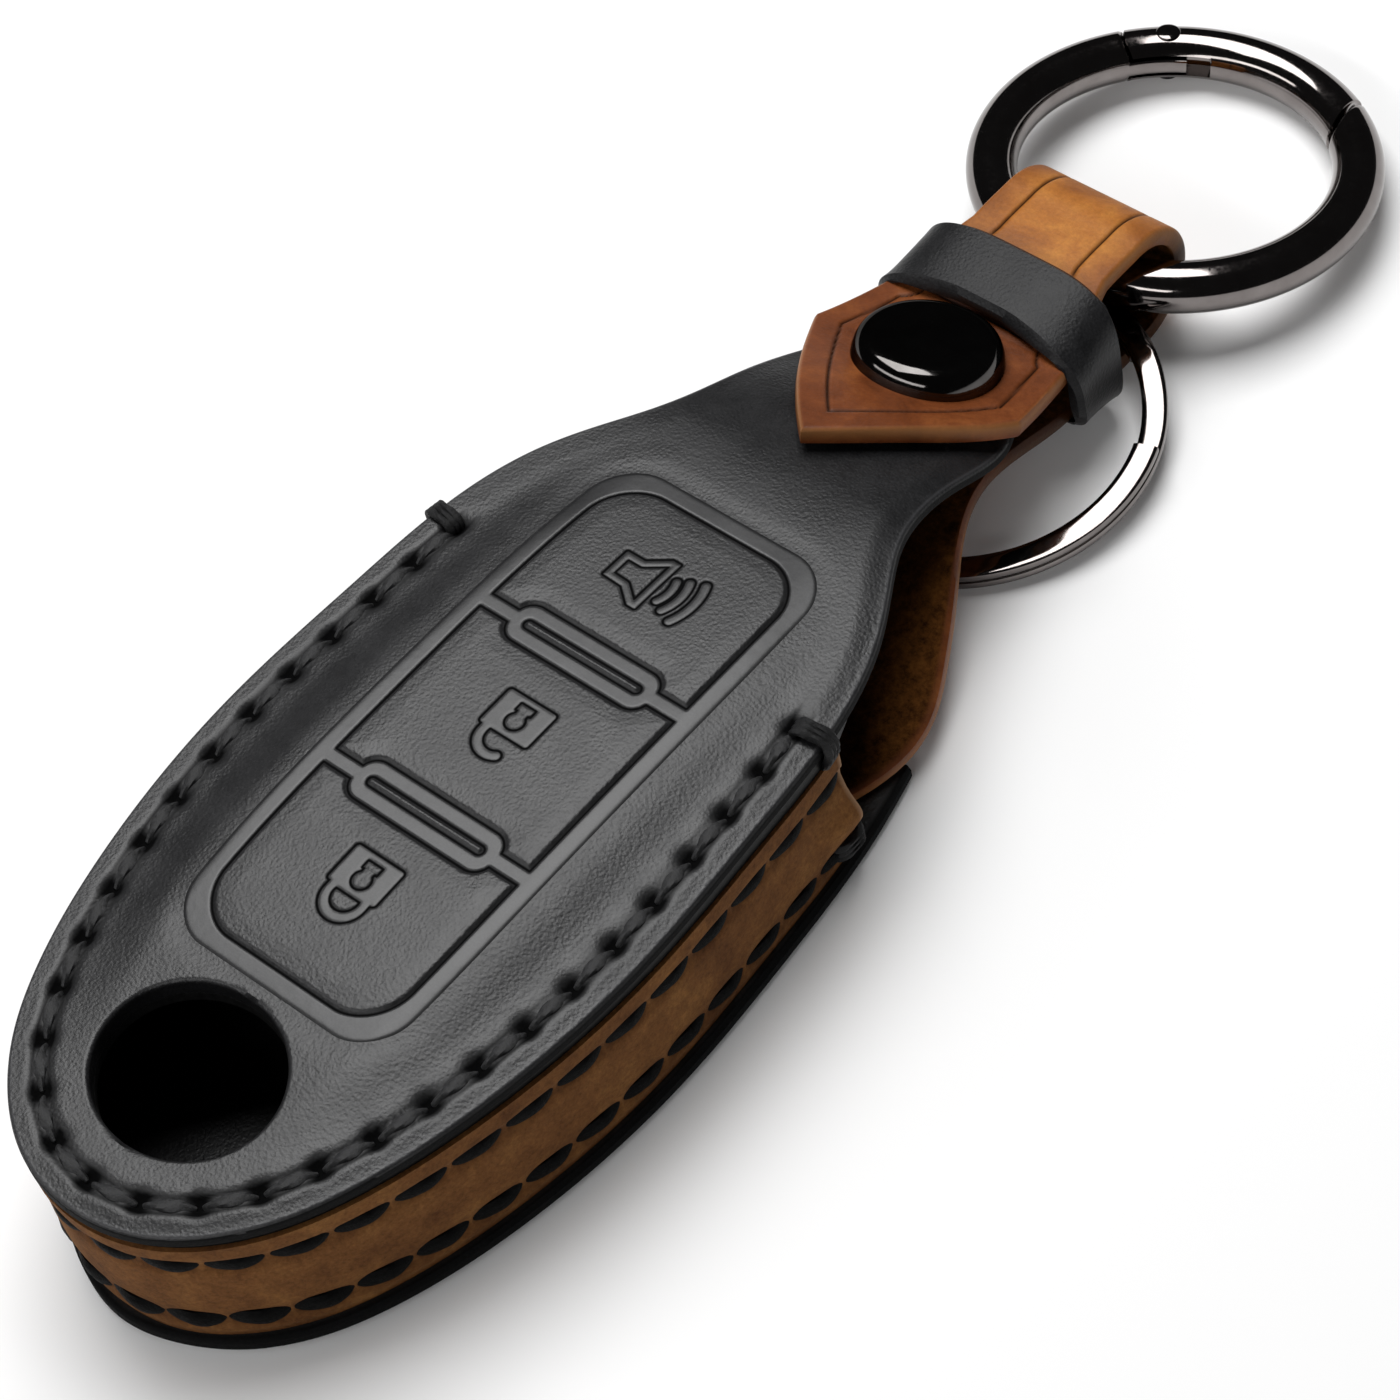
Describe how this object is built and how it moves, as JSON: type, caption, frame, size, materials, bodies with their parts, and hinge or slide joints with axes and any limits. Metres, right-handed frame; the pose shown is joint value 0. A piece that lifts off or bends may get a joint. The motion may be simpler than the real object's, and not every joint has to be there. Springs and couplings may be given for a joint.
{
  "type": "key fob cover",
  "caption": "Moulded leather case for an oval car key fob, with embossed button pads, an emblem window, a snap strap with a keeper, a spring gate ring and a split ring.",
  "frame": {"origin": "on the rear panel's flat outer face, on the middle plane, below the widest section of the case", "axes": "+X across the case, +Y from the rounded nose to the rings, +Z from the rear panel to the buttons"},
  "size_m": [0.0456, 0.1589, 0.0209],
  "materials": {
    "black_leather": "satin, fine grain",
    "dark_lining": "smooth",
    "brown_gusset": "nubuck",
    "tan_strap": "waxed pull-up",
    "black_nickel": "polished black nickel",
    "snap_metal": "dark plated"
  },
  "bodies": {
    "case": {"front_panel": "black_leather", "front_lining": "dark_lining", "rear_panel": "black_leather", "side_gusset": "brown_gusset", "strap": "tan_strap", "strap_keeper": "black_leather", "snap_stud": "snap_metal", "snap_post": "snap_metal"},
    "tip": {"strap_tip": "tan_strap", "snap_cap": "snap_metal", "snap_socket": "snap_metal"},
    "ring": {"ring_body": "black_nickel", "gate_pin": "black_nickel"},
    "gate": {"ring_gate": "black_nickel"},
    "split": {"split_ring": "black_nickel"}
  },
  "joints": [
    {"name": "tip_lift", "type": "hinge", "parent": "case", "child": "tip", "pos_m": [0, 0.0691, 0.01258], "axis": [-1, 0, 0], "range_deg": [0, 50]},
    {"name": "ring_swing", "type": "hinge", "parent": "case", "child": "ring", "pos_m": [-0.0008, 0.0816, 0.0072], "axis": [1, 0, 0], "range_deg": [0, 40]},
    {"name": "gate_turn", "type": "hinge", "parent": "ring", "child": "gate", "pos_m": [-0.0111, 0.11067, 0.00288], "axis": [0, -0.147, -0.9891], "range_deg": [0, 25], "stiffness_Nm_per_rad": 0.02, "springref_deg": -17.19},
    {"name": "split_turn", "type": "hinge", "parent": "case", "child": "split", "pos_m": [0.0006, 0.06565, 0.00226], "axis": [0, -0.0734, 0.9973], "continuous": true}
  ]
}
